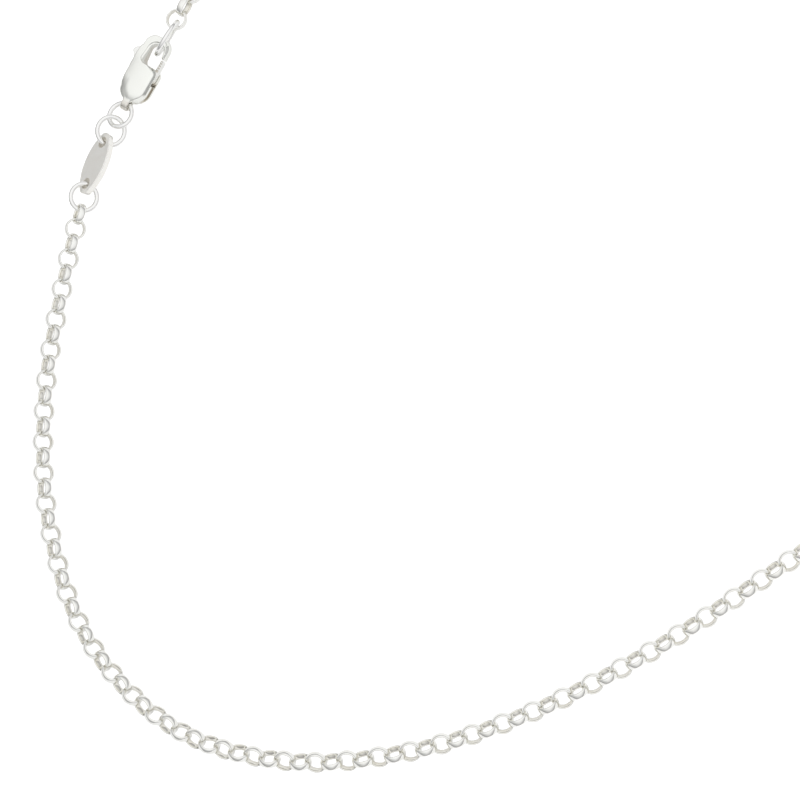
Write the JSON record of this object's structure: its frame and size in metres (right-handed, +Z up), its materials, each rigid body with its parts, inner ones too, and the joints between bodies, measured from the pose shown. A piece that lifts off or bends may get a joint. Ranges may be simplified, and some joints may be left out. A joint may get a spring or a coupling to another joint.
{
  "type": "rolo chain necklace",
  "caption": "Fastened necklace of round interlocked rolo links, with jump rings, a plain oval tag and a lobster clasp, lying on a flat surface.",
  "frame": {"origin": "on the surface that the necklace lies on, below the middle of the loop", "axes": "+X along the loop's long axis, +Y across the loop towards the clasp, +Z up from the surface"},
  "size_m": [0.1664, 0.1234, 0.0055],
  "materials": {
    "chain_silver": "polished silver",
    "clasp_silver": "polished silver",
    "ring_silver": "polished silver",
    "tag_silver": "silver with a fine grain on its faces"
  },
  "bodies": {
    "necklace": {"chain_front": "chain_silver", "chain_back": "chain_silver", "clasp_body": "clasp_silver", "pivot_pin": "clasp_silver", "clasp_ring": "ring_silver", "tag_ring": "ring_silver", "tag": "tag_silver", "chain_ring": "ring_silver", "end_ring": "ring_silver"},
    "lever": {"clasp_lever": "clasp_silver"}
  },
  "joints": [
    {"name": "lever_hinge", "type": "hinge", "parent": "necklace", "child": "lever", "pos_m": [-0.02069, 0.05262, 0.00155], "axis": [-0.0857, -0.016, 0.9962], "range_deg": [0, 20], "stiffness_Nm_per_rad": 0.01, "springref_deg": -17.19}
  ]
}
